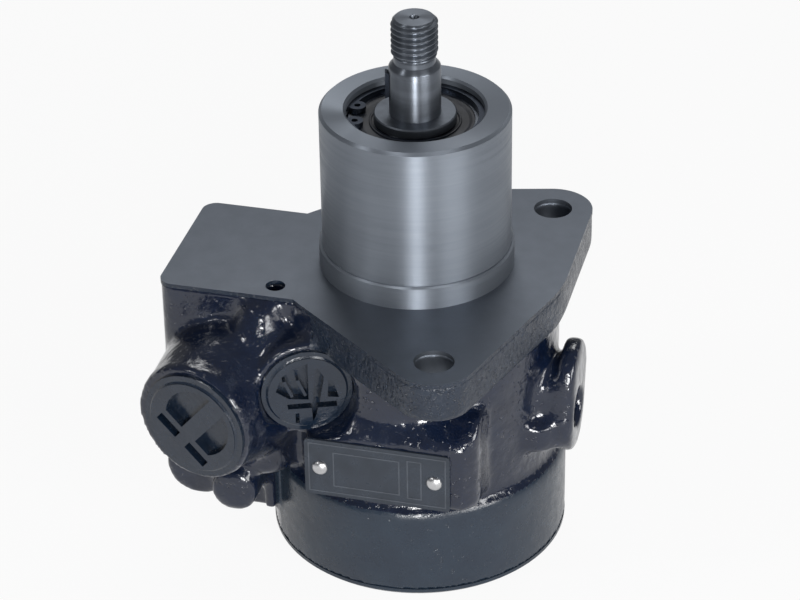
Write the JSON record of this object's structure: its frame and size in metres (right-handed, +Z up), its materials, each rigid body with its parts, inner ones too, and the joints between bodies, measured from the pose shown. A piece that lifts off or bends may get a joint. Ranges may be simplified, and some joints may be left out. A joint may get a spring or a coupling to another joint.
{
  "type": "power steering pump",
  "caption": "Flange-mounted vane pump for power steering, with a tall pilot nose, keyed drive shaft with a threaded end, round rear drum and plugged side ports.",
  "frame": {"origin": "shaft axis in the mounting face of the flange", "axes": "+Z up the shaft, valve block toward -X, ports face -Y"},
  "size_m": [0.1439, 0.134, 0.1984],
  "materials": {
    "housing_paint": "glossy black paint with machined grey faces",
    "machined_steel": "turned and ground",
    "hardened_steel": "ground",
    "bearing_steel": "polished",
    "plug_plastic": "moulded black",
    "plate_metal": "black lacquer on sheet metal",
    "rivet_aluminium": "bright",
    "seal_rubber": "satin",
    "brass": "drawn",
    "spring_steel": "oiled",
    "cast_cover": "painted black",
    "bush_bronze": "turned"
  },
  "bodies": {
    "pump_body": {"housing": "housing_paint", "suction_plug": "plug_plastic", "pressure_plug": "plug_plastic", "name_plate": "plate_metal", "plate_rivets": "rivet_aluminium", "bearing_outer_ring": "bearing_steel", "bearing_seal_outer": "seal_rubber", "bearing_seal_inner": "seal_rubber", "bearing_circlip": "spring_steel", "shaft_seal": "seal_rubber", "shaft_bush": "bush_bronze", "front_side_plate": "hardened_steel", "rear_side_plate": "hardened_steel", "cam_ring": "hardened_steel", "dowel_pins": "hardened_steel", "rear_cover": "cast_cover", "cover_seal": "seal_rubber", "cover_snap_ring": "spring_steel", "plate_spring": "spring_steel", "valve_spring": "spring_steel", "valve_washer": "rivet_aluminium", "valve_plug": "machined_steel"},
    "shaft_set": {"drive_shaft": "machined_steel", "disc_key": "hardened_steel", "spacer_ring": "bearing_steel", "bearing_inner_ring": "bearing_steel", "rotor": "hardened_steel"},
    "ball_set": {"bearing_balls": "bearing_steel", "bearing_cage": "spring_steel"},
    "spool_set": {"flow_spool": "hardened_steel", "relief_seat": "brass", "relief_spring": "spring_steel"},
    "relief_ball_body": {"relief_ball": "bearing_steel"},
    "vane_01_body": {"vane_01": "hardened_steel"},
    "vane_02_body": {"vane_02": "hardened_steel"},
    "vane_03_body": {"vane_03": "hardened_steel"},
    "vane_04_body": {"vane_04": "hardened_steel"},
    "vane_05_body": {"vane_05": "hardened_steel"},
    "vane_06_body": {"vane_06": "hardened_steel"},
    "vane_07_body": {"vane_07": "hardened_steel"},
    "vane_08_body": {"vane_08": "hardened_steel"},
    "vane_09_body": {"vane_09": "hardened_steel"},
    "vane_10_body": {"vane_10": "hardened_steel"}
  },
  "joints": [
    {"name": "shaft_spin", "type": "hinge", "parent": "pump_body", "child": "shaft_set", "pos_m": [0, 0, 0.0475], "axis": [0, 0, 1], "continuous": true},
    {"name": "ball_set_spin", "type": "hinge", "parent": "pump_body", "child": "ball_set", "pos_m": [0, 0, 0.0475], "axis": [0, 0, 1], "continuous": true},
    {"name": "vane_01_slide", "type": "slide", "parent": "shaft_set", "child": "vane_01_body", "axis": [1, 0, 0], "range_m": [-0.0024, 0]},
    {"name": "vane_02_slide", "type": "slide", "parent": "shaft_set", "child": "vane_02_body", "axis": [0.809, 0.5878, 0], "range_m": [-0.0024, 0]},
    {"name": "vane_03_slide", "type": "slide", "parent": "shaft_set", "child": "vane_03_body", "axis": [0.309, 0.9511, 0], "range_m": [-0.0024, 0]},
    {"name": "vane_04_slide", "type": "slide", "parent": "shaft_set", "child": "vane_04_body", "axis": [-0.309, 0.9511, 0], "range_m": [-0.0024, 0]},
    {"name": "vane_05_slide", "type": "slide", "parent": "shaft_set", "child": "vane_05_body", "axis": [-0.809, 0.5878, 0], "range_m": [-0.0024, 0]},
    {"name": "vane_06_slide", "type": "slide", "parent": "shaft_set", "child": "vane_06_body", "axis": [-1, 0, 0], "range_m": [-0.0024, 0]},
    {"name": "vane_07_slide", "type": "slide", "parent": "shaft_set", "child": "vane_07_body", "axis": [-0.809, -0.5878, 0], "range_m": [-0.0024, 0]},
    {"name": "vane_08_slide", "type": "slide", "parent": "shaft_set", "child": "vane_08_body", "axis": [-0.309, -0.9511, 0], "range_m": [-0.0024, 0]},
    {"name": "vane_09_slide", "type": "slide", "parent": "shaft_set", "child": "vane_09_body", "axis": [0.309, -0.9511, 0], "range_m": [-0.0024, 0]},
    {"name": "vane_10_slide", "type": "slide", "parent": "shaft_set", "child": "vane_10_body", "axis": [0.809, -0.5878, 0], "range_m": [-0.0024, 0]},
    {"name": "spool_slide", "type": "slide", "parent": "pump_body", "child": "spool_set", "axis": [0, 1, 0], "range_m": [0, 0.005], "stiffness_N_per_m": 9000, "springref_m": -0.002, "deforming": ["valve_spring"]},
    {"name": "relief_ball_slide", "type": "slide", "parent": "spool_set", "child": "relief_ball_body", "axis": [0, 1, 0], "range_m": [0, 0.0007], "stiffness_N_per_m": 6000, "springref_m": -0.001, "deforming": ["relief_spring"]}
  ],
  "couplings": [
    {"joint": "ball_set_spin", "follows": "shaft_spin", "ratio": 0.38299}
  ]
}
